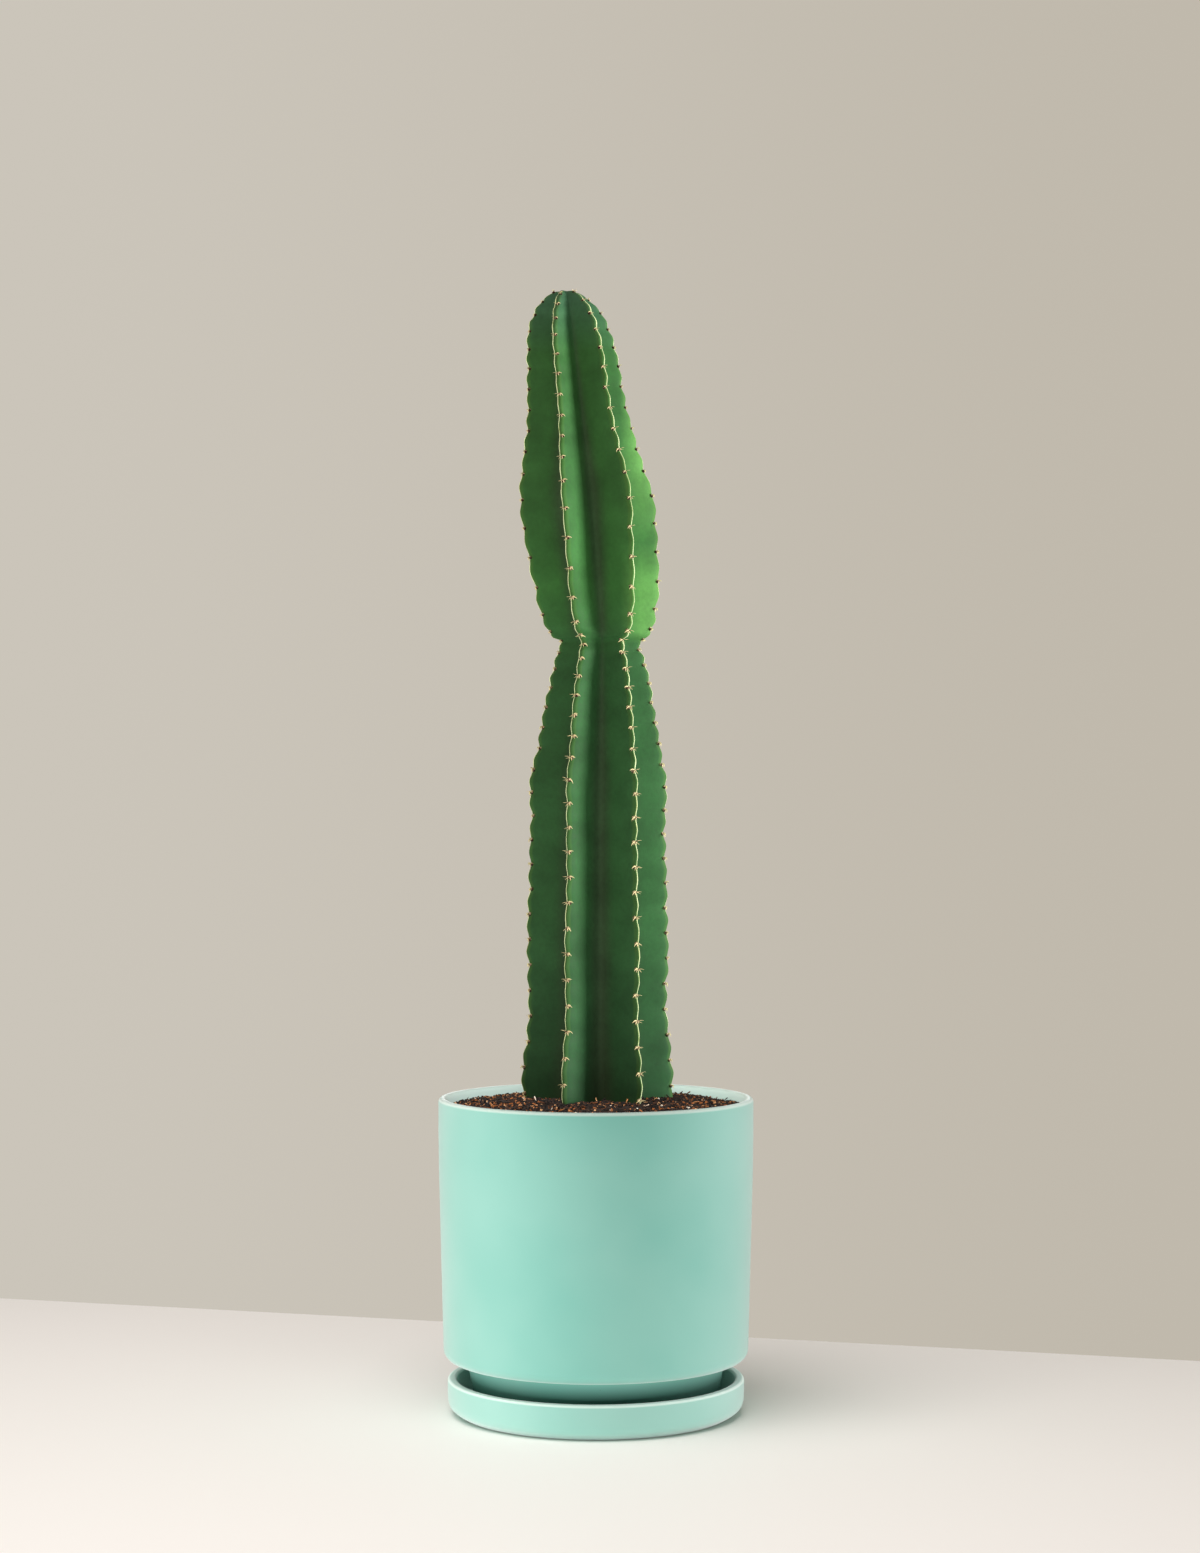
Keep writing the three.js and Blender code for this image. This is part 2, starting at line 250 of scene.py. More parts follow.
class CactusColours(bpy.types.PropertyGroup):
    glaze: colour("Glaze", "Mint glaze where it lies thick", "#72b6a9")
    # Painted shade: darkens the set-back foot under the body's overhang.
    painted_foot_shade: colour("Pooled glaze", "Glaze where it ran together and fired dark", "#16483c")
    # Also the pale colour painted inside the rim and on small edges as painted light.
    pale_glaze_and_painted_light: colour("Thin glaze", "Glaze where it breaks over an edge", "#dcf2ea")
    skin_base: colour("Base skin", "Skin of the oldest growth, near the soil", "#32613d")
    skin_old: colour("Older skin", "Skin of the lower growth", "#386d3f")
    skin_flush: colour("Flushed skin", "Skin of the soft new growth above the waist", "#418040")
    skin_young: colour("Younger skin", "Skin of the upper growth", "#3f783f")
    skin_tip: colour("Tip skin", "Bloom on the newest skin", "#4e8264")
    # Painted shade for the valleys between the ribs.
    painted_valley_shade: colour("Valley skin", "Skin deep between the ribs", "#40593f")
    crest_cork: colour("Crest line", "Pale corky line along the crests", "#e2efc2")
    wool: colour("Wool", "Fresh areole wool", "#f0e0b8")
    wool_aged: colour("Aged wool", "Brown felt at the foot of the spines", "#3a2216")
    spine: colour("Spine", "Horn of the spines", "#eddcae")
    spine_foot: colour("Spine foot", "Dark foot of the spines", "#5a3526")
    soil_dark: colour("Dark soil", "Wet peat", "#110a07")
    soil_brown: colour("Brown soil", "Drier crumbs", "#3d261a")
    bark: colour("Bark", "Bark fibres", "#a8622f")
    bark_dry: colour("Dry bark", "Dry ends of bark fibres", "#dba878")
    perlite: colour("Perlite", "Expanded volcanic glass", "#f2e6d6")
    floor: colour("Floor", "Painted table top", "#f1edea")
    wall: colour("Wall", "Warm grey wall, left", "#cbc5ba")
    wall_far: colour("Far wall", "Warm grey wall, right", "#c0b9ac")


GROUPS = {
    "cactus_pot": CactusPotSizes,
    "cactus_saucer": CactusSaucerSizes,
    "cactus_soil": CactusSoilSizes,
    "cactus_stem": CactusStemSizes,
    "cactus_areole": CactusAreoleSizes,
    "cactus_colours": CactusColours,
}


# ---- Materials ----


def add(material, kind, inputs=None, **settings):
    """Adds a shader node. Its inputs are numbers, colours or the sockets that feed them."""
    tree = material.node_tree
    node = tree.nodes.new("ShaderNode" + kind)
    for name, value in settings.items():
        setattr(node, name, value)
    for place, value in (inputs or {}).items():
        if isinstance(value, bpy.types.NodeSocket):
            tree.links.new(value, node.inputs[place])
        else:
            node.inputs[place].default_value = value
    return node


def new_material(name):
    """A node material with its shader and its output joined, and nothing else."""
    material = bpy.data.materials.new(name)
    material.use_nodes = True
    material.node_tree.nodes.clear()
    shader = add(material, "BsdfPrincipled")
    add(material, "OutputMaterial", {"Surface": shader.outputs[0]})
    return material, shader


def feed(material, shader, **inputs):
    """Sets or links the named sockets of a shader, with _ for a space."""
    for name, value in inputs.items():
        socket = shader.inputs[name.replace("_", " ")]
        if isinstance(value, bpy.types.NodeSocket):
            material.node_tree.links.new(value, socket)
        else:
            socket.default_value = value


# Short ways to add the common nodes. Each returns its node's output socket.


def mixed(material, part, first, second, blend="MIX"):
    mix = {0: part, 6: first, 7: second}
    return add(material, "Mix", mix, data_type="RGBA", blend_type=blend).outputs[2]


def maths(material, operation, *values, **settings):
    inputs = dict(enumerate(values))
    return add(material, "Math", inputs, operation=operation, **settings).outputs[0]


def ranged(material, value, low, high, new_low=0, new_high=1, smooth=False):
    return add(
        material, "MapRange", {0: value, 1: low, 2: high, 3: new_low, 4: new_high},
        interpolation_type="SMOOTHSTEP" if smooth else "LINEAR",
    ).outputs[0]


def toned(material, value, *stops):
    node = add(material, "ValToRGB", {0: value})
    ramp = node.color_ramp.elements
    for place, tone in stops:
        stop = ramp[0] if place == 0 else ramp[-1] if place == 1 else ramp.new(place)
        stop.color = tone
    return node.outputs[0]


def read(material, name):
    return add(material, "Attribute", attribute_name=name).outputs["Fac"]


# Features of a texture are so many millimetres across, and a bump so many millimetres deep.


def cloudy(material, place, size, detail):
    scale = 1 / (size * MM)
    return add(material, "TexNoise", {"Vector": place, "Scale": scale, "Detail": detail}).outputs[0]


def celled(material, place, size, feature="F1"):
    scale = 1 / (size * MM)
    cells = add(material, "TexVoronoi", {"Vector": place, "Scale": scale}, feature=feature)
    return cells.outputs["Distance"]


def bumped(material, height, strength, depth):
    bump = {"Height": height, "Strength": strength, "Distance": depth * MM}
    return add(material, "Bump", bump).outputs[0]


def glazed_stoneware(name, painted_shade_top=None, pale=0, milky=0.8):
    """Mint satin glaze poured over stoneware and fired once."""
    # The satin glaze gives a broad soft shine and a milky look where it turns away from the eye.
    # Its thickness and its tone drift over centimetres. Over small edges it is paler, partly where
    # the glaze breaks and partly as a painted highlight, and inside the rim it is painted pale as
    # painted light. Below a given height it is darkened towards the bottom as painted shade.
    # pale is how thin it lies, and milky is its bloom.
    tones = bpy.context.scene.cactus_colours
    material, shader = new_material(name)
    place = add(material, "TexCoord").outputs["Object"]
    drift = cloudy(material, place, 80, 2)
    thin = ranged(material, drift, 0.35, 0.65, pale, pale + 0.08)
    edge = read(material, "glaze_break_and_painted_light")
    broken = ranged(material, edge, 0.2, 1, 0, 0.85)
    cover = maths(material, "ADD", thin, broken, use_clamp=True)
    body = mixed(material, cover, tones.glaze, tones.pale_glaze_and_painted_light)
    if painted_shade_top is not None:
        # Below that height the glaze is darkened towards the bottom: painted shade under the
        # overhang.
        height = add(material, "SeparateXYZ", {0: place}).outputs[2]
        foot_shade_mask = ranged(material, height, painted_shade_top - 11 * MM, painted_shade_top, 0.93, 0)
        body = mixed(material, foot_shade_mask, body, tones.painted_foot_shade)
    cells = celled(material, place, 34)
    speck = ranged(material, cells, 0.012, 0.022, 0.7, 0)
    specked = mixed(material, speck, body, linear("#4c6a62"))
    peel = cloudy(material, place, 1.6, 2)
    bump = bumped(material, peel, 0.1, 0.1)
    gloss = ranged(material, drift, 0.3, 0.7, 0.56, 0.64)
    feed(
        material, shader, Base_Color=specked, Roughness=gloss, Normal=bump, IOR=1.5,
        Sheen_Weight=milky, Sheen_Roughness=0.5,
    )
    return material


def potting_mix(name, stops):
    """Peat and composted bark, crumbled and watered: each crumb has its own tone, none shines."""
    material, shader = new_material(name)
    place = add(material, "TexCoord").outputs["Object"]
    tone = read(material, "tone")
    crumb = toned(material, tone, *stops)
    grit = cloudy(material, place, 0.9, 3)
    shade = ranged(material, grit, 0.3, 0.7, 0.55, 1.35)
    body = mixed(material, 1, crumb, shade, "MULTIPLY")
    bump = bumped(material, grit, 0.6, 0.3)
    feed(material, shader, Base_Color=body, Roughness=0.85, Normal=bump, Specular_IOR_Level=0.3)
    return material


def perlite_grain(name):
    """Perlite: volcanic glass popped in a furnace, which leaves a chalky, pitted white grain."""
    tones = bpy.context.scene.cactus_colours
    material, shader = new_material(name)
    place = add(material, "TexCoord").outputs["Object"]
    pits = cloudy(material, place, 0.8, 3)
    dust = toned(material, pits, (0, tones.bark), (0.42, tones.perlite), (1, tones.perlite))
    bump = bumped(material, pits, 0.7, 0.3)
    feed(material, shader, Base_Color=dust, Roughness=0.8, Normal=bump)
    return material


def cactus_skin(name):
    """Living cactus epidermis under its own wax, grown and never polished."""
    # The wax gives a soft satin shine. Old skin is bluer, the new growth above the waist is
    # yellower, the tip has a pale bloom, and the skin is stained along each corky crest line.
    # The valleys are darkened as painted shade, and just above the waist the right side is lightened
    # as a painted highlight.
    tones = bpy.context.scene.cactus_colours
    material, shader = new_material(name)
    place = add(material, "TexCoord").outputs["Object"]
    # Distances in millimetres from the crest, and from the corky line with a sign.
    off_crest = read(material, "crest_away")
    line = read(material, "line_side")
    rightward, _, height = add(material, "SeparateXYZ", {0: place}).outputs
    grown = ranged(material, height, POT_HIGH.z, STEM_HIGH.z)
    skin = toned(
        material, grown, (0, tones.skin_base), (0.25, tones.skin_old), (0.54, tones.skin_old),
        (0.63, tones.skin_flush), (0.76, tones.skin_young), (0.92, tones.skin_young),
        (1, tones.skin_tip),
    )
    # The valleys between the ribs are painted darker: painted shade.
    deep = ranged(material, off_crest, 9, 20, 0, 0.75, smooth=True)
    shaded = mixed(material, deep, skin, tones.painted_valley_shade)
    # Just above the waist, the right side, where the key lamp falls, is painted paler and yellower:
    # a painted highlight.
    waist = STEM_HIGH.z - bpy.context.scene.cactus_stem.upper_growth
    above = ranged(material, height, waist, waist + 130 * MM)
    # Higher up, where the last stop brings it back, it is stronger than in the photograph.
    none, most, full = (linear(grey) for grey in ("#000000", "#e0e0e0", "#ffffff"))
    highlight_by_height = toned(material, above, (0, none), (0.06, most), (0.3, most), (0.52, none), (1, full))
    lit_side = ranged(material, rightward, 16 * MM, 30 * MM)
    painted_highlight = maths(material, "MULTIPLY", highlight_by_height, lit_side)
    pale = mixed(material, painted_highlight, shaded, linear("#78bf66"))
    cloud = cloudy(material, place, 26, 3)
    drifting = ranged(material, cloud, 0.3, 0.7, 0.82, 1.2)
    mottle = cloudy(material, place, 2.6, 4)
    mottled = ranged(material, mottle, 0.3, 0.7, 0.92, 1.08)
    both = maths(material, "MULTIPLY", drifting, mottled)
    varied = mixed(material, 1, pale, both, "MULTIPLY")
    # The blunt crest is a slightly yellower ribbon between its two edges.
    ribbon = ranged(material, off_crest, 1.5, 2.4, 0.22, 0, smooth=True)
    banded = mixed(material, ribbon, varied, linear("#6a9a45"))
    # The stain wavers with the line, and in places it breaks up into flecks at its sides.
    wobble = cloudy(material, place, 16, 2)
    sway = ranged(material, wobble, 0.3, 0.7, -0.4, 0.4)
    from_line = maths(material, "SUBTRACT", line, sway)
    near_line = maths(material, "ABSOLUTE", from_line)
    cork = ranged(material, near_line, 0.55, 0.9, 1, 0)
    worn = ranged(material, mottle, 0.34, 0.5, 0.7, 1)
    lined = maths(material, "MULTIPLY", cork, worn)
    scars = celled(material, place, 1.5)
    fleck = ranged(material, scars, 0.2, 0.32, 1, 0)
    reach = ranged(material, near_line, 1.4, 2.2, 1, 0)
    patch = ranged(material, cloud, 0.64, 0.68, 0, 0.8)
    scarred = maths(material, "MULTIPLY", fleck, reach)
    placed = maths(material, "MULTIPLY", scarred, patch)
    marks = maths(material, "MAXIMUM", lined, placed)
    beside = ranged(material, off_crest, 4.5, 6, 1, 0)
    corky = maths(material, "MULTIPLY", marks, beside)
    corked = mixed(material, corky, banded, linear("#9cab6c"))
    pores = celled(material, place, 0.9)
    relief = maths(material, "ADD", mottle, pores)
    bump = bumped(material, relief, 0.2, 0.12)
    gloss = ranged(material, mottle, 0.3, 0.7, 0.58, 0.7)
    feed(
        material, shader, Base_Color=corked, Roughness=gloss, Normal=bump, IOR=1.42,
        Specular_IOR_Level=0.25,
    )
    return material


def crest_cork(name):
    """Corky line of old epidermis, dried by the sun along the edge of each rib."""
    # It is pale and dull, crazed by fine cracks, and green shows through where it is worn thin.
    tones = bpy.context.scene.cactus_colours
    material, shader = new_material(name)
    place = add(material, "TexCoord").outputs["Object"]
    worn = cloudy(material, place, 5, 4)
    bare = ranged(material, worn, 0.56, 0.7, 0, 0.7)
    body = mixed(material, bare, tones.crest_cork, linear("#93ad63"))
    cracks = celled(material, place, 0.8, "DISTANCE_TO_EDGE")
    bump = bumped(material, cracks, 0.4, 0.1)
    feed(material, shader, Base_Color=body, Roughness=0.8, Normal=bump)
    return material


def areole_felt(name):
    """Plant wool: matted hairs that scatter the light, cream towards the top of each pad and brown
    towards its foot, and creamer on older pads.
    """
    tones = bpy.context.scene.cactus_colours
    material, shader = new_material(name)
    place = add(material, "TexCoord").outputs["Object"]
    upper = read(material, "pad_upper")
    tufts = cloudy(material, place, 1.2, 3)
    tuft = ranged(material, tufts, 0.3, 0.7, -0.35, 0.35)
    tone = maths(material, "ADD", upper, tuft)
    body = toned(
        material, tone, (0, tones.wool_aged), (0.35, tones.wool_aged), (0.75, tones.wool),
        (1, tones.wool),
    )
    bump = bumped(material, tufts, 0.8, 0.3)
    feed(
        material, shader, Base_Color=body, Roughness=0.95, Normal=bump, Sheen_Weight=0.3,
        Sheen_Roughness=0.4,
    )
    return material


def spine_horn(name):
    """Spine: dry horn-like tissue, dark where it is rooted in the wool and straw at its tip."""
    tones = bpy.context.scene.cactus_colours
    material, shader = new_material(name)
    along = read(material, "along_spine")
    tone = toned(
        material, along, (0, tones.spine_foot), (0.1, tones.spine_foot), (0.28, tones.spine),
        (1, tones.spine),
    )
    feed(material, shader, Base_Color=tone, Roughness=0.5)
    return material


def painted_board(name):
    """Table top: board sprayed with matt off-white paint, so it has almost no shine."""
    tones = bpy.context.scene.cactus_colours
    material, shader = new_material(name)
    place = add(material, "TexCoord").outputs["Object"]
    grain = cloudy(material, place, 3, 3)
    bump = bumped(material, grain, 0.1, 0.1)
    feed(material, shader, Base_Color=tones.floor, Roughness=0.6, Normal=bump)
    return material


# ---- Mesh helpers ----


def finished(bm, name, material, smooth=True):
    """Turns a bmesh into an object of the scene, with its faces pointing out."""
    bmesh.ops.recalc_face_normals(bm, faces=bm.faces)
    mesh = bpy.data.meshes.new(name)
    bm.to_mesh(mesh)
    bm.free()
    mesh.materials.append(material)
    mesh.polygons.foreach_set("use_smooth", [smooth] * len(mesh.polygons))
    piece = bpy.data.objects.new(name, mesh)
    bpy.context.collection.objects.link(piece)
    return piece


def turned(corners, closed=False, steps=ROUND_STEPS):
    """A solid turned about the Z axis. Each corner is (radius, height, rounding), in metres."""
    # The layer made here is 1 in the middle of each narrow rounding and 0 at its ends and elsewhere.
    # It paints the glaze pale there, partly where the glaze breaks over the edge and partly as a
    # painted highlight.
    bm = bmesh.new()
    layer = bm.verts.layers.float.new("glaze_break_and_painted_light")
    points = [bm.verts.new((radius, 0, height)) for radius, height, _ in corners]
    ends = points[1:] + points[:1] if closed else points[1:]
    for start, end in zip(points, ends):
        bm.edges.new((start, end))
    for point, (_, _, rounding) in zip(points, corners):
        if rounding:
            corner = point.co.copy()
            rounded = bmesh.ops.bevel(
                bm, geom=[point], offset=rounding, offset_type="OFFSET", segments=CORNER_STEPS,
                profile=0.5, affect="VERTICES", material=-1,
            )["verts"]
            gaps = [(v.co - corner).length for v in rounded]
            near, far = min(gaps), max(gaps)
            for v, gap in zip(rounded, gaps):
                v[layer] = (far - gap) / (far - near) if rounding < WIDE_ROUNDING else 0
    outline = bm.verts[:] + bm.edges[:]
    bmesh.ops.spin(
        bm, geom=outline, cent=(0, 0, 0), axis=(0, 0, 1), angle=2 * math.pi, steps=steps,
        use_merge=True,
    )
    bmesh.ops.remove_doubles(bm, verts=bm.verts, dist=SAME_POINT)
    return bm


def scattered(shapes, places):
    """One bmesh that holds a copy of a small mesh at each place."""
    bm = bmesh.new()
    for shape, place in zip(shapes, places):
        copy = shape.copy()
        copy.transform(place)
        bm.from_mesh(copy)
        bpy.data.meshes.remove(copy)
    return bm


def mark(piece, name, values):
    """Gives every point of a piece a number that its material reads by name."""
    layer = piece.data.attributes.new(name, "FLOAT", "POINT")
    layer.data.foreach_set("value", values)


def kept_mesh(bm, name):
    """The bmesh as a small mesh for copying, with its faces pointing out."""
    bmesh.ops.recalc_face_normals(bm, faces=bm.faces)
    mesh = bpy.data.meshes.new(name)
    bm.to_mesh(mesh)
    bm.free()
    return mesh


def eased(points, steps=24):
    """Points along a smooth curve that passes through the given ones."""
    given = np.array(points, dtype=float)
    padded = np.vstack([2 * given[0] - given[1], given, 2 * given[-1] - given[-2]])
    t = np.linspace(0, 1, steps, endpoint=False)[:, None]
    stretches = [
        0.5 * (
            2 * b + (c - a) * t + (2 * a - 5 * b + 4 * c - d) * t**2
            + (3 * b - a - 3 * c + d) * t**3
        )
        for a, b, c, d in zip(padded, padded[1:], padded[2:], padded[3:])
    ]
    return np.vstack(stretches + [given[-1:]])


def smoothstep(value, low, high):
    t = np.clip((value - low) / (high - low), 0, 1)
    return t * t * (3 - 2 * t)


# ---- Pot and saucer ----


def make_saucer(context):
    s = context.scene.cactus_saucer
    inner = s.radius - s.wall
    ring = s.radius - s.undercut
    ring_inner = ring - s.ring
    corners = (
        (0, s.recess, 0),
        (ring_inner - s.recess, s.recess, 0.6 * MM),
        (ring_inner, 0, 0.4 * MM),
        (ring, 0, 0.5 * MM),
        (ring + 0.42 * s.undercut, 0.2 * s.undercut, 3.2 * MM),
        (s.radius - 0.1 * s.undercut, 0.62 * s.undercut, 3.2 * MM),
        (s.radius, 1.3 * s.undercut, 4 * MM),
        (s.radius, s.height, s.lip_round),
        (inner, s.height, s.lip_round),
        (inner - 0.4 * MM, s.floor_top, 3 * MM),
        (0, s.floor_top, 0),
    )
    piece = finished(
        turned(corners), "saucer_glazed", glazed_stoneware("satin_glaze_saucer", pale=0.16)
    )
    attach(piece, "root")
    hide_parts("saucer")


def pot_steps(s):
    """Height of the lower edge of the pot's body, and radius of the body there and of the foot."""
    body = s.rim_radius - s.taper
    return s.base_height + s.foot_height, body, body - s.foot_setback


def pot_hollow(context, gap):
    """Corners of the pot's hollow from its straight band down to the floor, moved in by a gap."""
    s = context.scene.cactus_pot
    shoulder, body, foot = pot_steps(s)
    step = shoulder + s.floor + gap
    return (
        (s.rim_radius - s.wall - gap, s.rim_height - s.band, 0),
        (body - s.wall - gap, step, 5 * MM),
        (foot - s.wall - gap, step, 4 * MM),
        (foot - s.foot_taper - s.wall - gap, s.base_height + s.floor + gap, 5 * MM),
    )


def make_pot(context):
    s = context.scene.cactus_pot
    shoulder, body, foot = pot_steps(s)
    foot_low = foot - s.foot_taper
    ring_inner = foot_low - s.foot_ring
    recess = s.base_height + s.foot_recess
    inner = s.rim_radius - s.wall
    corners = (
        (s.drain_radius, recess, 1 * MM),
        (ring_inner - s.foot_recess, recess, 0.8 * MM),
        (ring_inner, s.base_height, 0.5 * MM),
        (foot_low, s.base_height, 1.2 * MM),
        (foot, shoulder, 2 * MM),
        (body, shoulder, s.shoulder_round),
        (s.rim_radius, s.rim_height - s.band, 14 * MM),
        (s.rim_radius, s.rim_height, s.lip_round),
        (inner, s.rim_height, s.lip_round),
        *pot_hollow(context, 0),
        (s.drain_radius, s.base_height + s.floor, 1 * MM),
    )
    bm = turned(corners, closed=True)
    thin = bm.verts.layers.float["glaze_break_and_painted_light"]
    # Inside the rim the glaze is painted pale: painted light on the inner wall.
    for v in bm.verts:
        if v.co.z > s.rim_height - PAINTED_RIM_LIGHT and v.co.xy.length < s.rim_radius - s.wall / 2:
            v[thin] = 1
    # The foot has its own material, darkened towards its bottom as painted shade under the body's
    # overhang, and without the milky bloom of the body.
    painted_shade_top = shoulder - 1 * MM
    for face in bm.faces:
        face.material_index = int(face.calc_center_median().z < painted_shade_top)
    piece = finished(bm, "pot_glazed", glazed_stoneware("satin_glaze_pot"))
    foot_glaze = glazed_stoneware("painted_shade_glaze_foot", painted_shade_top=painted_shade_top, milky=0)
    piece.data.materials.append(foot_glaze)
    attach(piece, "root")
    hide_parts("pot")


# ---- Stem ----


class Growth:
    """The grown stem: its surface as a function of the place round the ribs and along a crest."""

    def __init__(self, sizes):
        self.sizes = sizes
        self.waist = STEM_HIGH.z - sizes.upper_growth
        self.soil = self.waist - sizes.lower_growth
        self.crown = self.soil - sizes.buried
        stations = []
        for shape, radius, start, reach in (
            (BURIED_SHAPE, sizes.lower_radius, self.crown, sizes.buried),
            (LOWER_SHAPE, sizes.lower_radius, self.soil, sizes.lower_growth),
            (((0, 1),), sizes.waist_radius, self.waist, 0),
            (UPPER_SHAPE, sizes.upper_radius, self.waist, sizes.upper_growth),
        ):
            stations += [(r * radius, start + a * reach) for a, r in shape]
        outline = eased(stations)
        self.crests, self.heights = np.maximum(outline[:, 0], 0), outline[:, 1]
        steps = np.hypot(*np.diff(outline, axis=0).T)
        self.lengths = np.concatenate([[0], np.cumsum(steps)])
        places, spacings = zip(*AREOLE_SPACING)
        share_up = (self.heights - self.soil) / (STEM_HIGH.z - self.soil)
        spacing = np.interp(share_up, places, spacings) * MM
        counted = np.concatenate([[0], np.cumsum(steps / ((spacing[1:] + spacing[:-1]) / 2))])
        at_soil = np.interp(
            self.soil, self.heights[: len(self.heights) // 2], counted[: len(counted) // 2]
        )
        self.counted = counted - at_soil

    def middle(self, height):
        """How far right of the pot's axis the stem's middle is: plumb first, then leaning left."""
        above = np.maximum(0, height - self.waist)
        leaning = above**2 / (above + self.sizes.lean_start)
        bow = self.sizes.bow * np.exp(-((height - self.waist) / self.sizes.bow_reach) ** 2)
        return self.sizes.offset + bow - math.tan(self.sizes.lean) * leaning

    def section(self, angle, crest, valley):
        """Radius at an angle from the nearest crest, for blunt ribs with nearly flat flanks."""
        sector = np.pi / self.sizes.ribs
        flat = np.minimum(self.sizes.crest_width / 2, 0.09 * crest)
        deep = valley / 2 ** (1 / VALLEY_SHARPNESS)
        slope = np.arctan((deep * math.sin(sector) - flat / crest) / (1 - deep * math.cos(sector)))
        reach = crest * np.sin(slope) + flat * np.cos(slope)
        blunt = (1 + (crest * np.sin(slope) / reach) ** CREST_SHARPNESS) ** (1 / CREST_SHARPNESS)
        near, far = (
            (crest**-CREST_SHARPNESS + (reach / np.sin(away + slope)) ** -CREST_SHARPNESS)
            ** (-1 / CREST_SHARPNESS)
            for away in (np.abs(angle), 2 * sector - np.abs(angle))
        )
        return blunt * (near**VALLEY_SHARPNESS + far**VALLEY_SHARPNESS) ** (1 / VALLEY_SHARPNESS)

    def surface(self, place, length):
        """Points and their signed distances from the nearest crest in millimetres, as arrays.
        place counts ribs round the stem, and length is along a crest from the buried base."""
        s = self.sizes
        height = np.interp(length, self.lengths, self.heights)
        crest = np.interp(length, self.lengths, self.crests)
        nearest = np.round(place).astype(int)
        rib = nearest % s.ribs
        across = 2 * (place - nearest)
        across = np.sign(across) * np.abs(across) ** CREST_CROWDING
        # The base is almost round, and the valleys are shallower round the waist and at the tip.
        above = smoothstep(height, self.crown, self.soil)
        narrow = np.exp(-((height - self.waist) / (16 * MM)) ** 2)
        near_tip = smoothstep(height, STEM_HIGH.z - 30 * MM, STEM_HIGH.z)
        valley = ROUND_BASE + (s.valley + 0.12 * narrow + 0.1 * near_tip - ROUND_BASE) * above
        angle = across * np.pi / s.ribs
        side = angle * crest
        fin = np.exp(-((side / (6 * MM)) ** 2))
        start = np.array(AREOLE_START)[rib % len(AREOLE_START)]
        count = np.interp(length, self.lengths, self.counted) - start
        # Each notch has its own depth, and the swelling above it is fullest near its lower end.
        which = np.round(count)
        phase = (count - which + 0.5) % 1
        skewed = phase + 0.09 * np.sin(2 * np.pi * phase)
        away = np.abs(2 * skewed - 1)
        arch = 1 - (1 - away) ** 2
        depth = 1 + 0.3 * np.sin(2.1 * which + 7.3 * rib)
        size = above * np.minimum(1, crest / (25 * MM))
        radius = self.section(angle, np.maximum(crest, 1 * MM), valley)
        radius = radius * np.minimum(1, crest / (1 * MM))
        younger = 1.2 - 0.15 * smoothstep(height, self.waist + 40 * MM, self.waist + 120 * MM)
        radius -= s.notch * depth * younger * (1 - arch) * fin * size
        radius += 0.15 * MM * np.sin(np.pi * np.abs(across)) * (arch - 0.5) * size
        waver = np.sin(length / (37 * MM) + 2 * rib) + 0.7 * np.sin(length / (13 * MM) + 4 * rib)
        sideways = s.waver * waver * np.cos(np.pi / 2 * across) * size
        turn = s.rib_start + s.twist * smoothstep(
            height, self.waist, self.waist + s.upper_growth / 2
        )
        direction = turn + 2 * np.pi / s.ribs * nearest + angle + sideways / np.maximum(
            crest, 5 * MM
        )
        right = self.middle(height) + radius * np.cos(direction)
        points = np.stack([right, radius * np.sin(direction), height], axis=-1)
        return points, side / MM

    def crest_frame(self, rib, length):
        """A matrix at a crest whose X is sideways, Y up along the crest and Z out of the stem."""
        reach = 3 * MM
        lengths = np.array([length - reach, length, length + reach])
        below, here, above = (Vector(p) for p in self.surface(np.full(3, float(rib)), lengths)[0])
        up = (above - below).normalized()
        middle = Vector((float(self.middle(here.z)), 0, here.z))
        side = up.cross(here - middle).normalized()
        out = side.cross(up)
        return Matrix.Translation(here) @ Matrix((side, up, out)).transposed().to_4x4()

    def age(self, length):
        """0 for an areole at the growing tip, rising to 1 for the old ones of the lower growth."""
        return float(smoothstep(self.lengths[-1] - length, 15 * MM, 300 * MM))

    def areoles(self, rib):
        """Lengths along a rib's crest at which its areoles sit, from the soil to the tip."""
        start = AREOLE_START[rib % len(AREOLE_START)]
        whole = np.arange(0, math.ceil(self.counted[-1]))
        lengths = np.interp(whole + start, self.counted, self.lengths)
        crests = np.interp(lengths, self.lengths, self.crests)
        last = self.lengths[-1] - 5 * MM
        return [at for at, crest in zip(lengths, crests) if at < last and crest > 3 * MM]


def make_stem(context):
    growth = Growth(context.scene.cactus_stem)
    ribs = growth.sizes.ribs
    bm = bmesh.new()
    bmesh.ops.create_grid(bm, x_segments=SKIN_ACROSS * ribs, y_segments=SKIN_ALONG, size=1)
    spread = np.array([v.co for v in bm.verts])
    around = (spread[:, 0] + 1) / 2 * ribs
    along = (spread[:, 1] + 1) / 2 * growth.lengths[-1]
    points, sides = growth.surface(around, along)
    offsets = np.array(LINE_OFFSET)[np.round(around).astype(int) % ribs % len(LINE_OFFSET)]
    layers = [bm.verts.layers.float.new(name) for name in ("crest_away", "line_side")]
    for v, point, *values in zip(bm.verts, points, np.abs(sides), sides - offsets):
        v.co = point
        for layer, value in zip(layers, values):
            v[layer] = value
    bmesh.ops.remove_doubles(bm, verts=bm.verts, dist=2 * SAME_POINT)
    piece = finished(bm, "cactus_skin", cactus_skin("waxy_cactus_epidermis"))
    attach(piece, "root")
    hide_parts("cactus_stem")


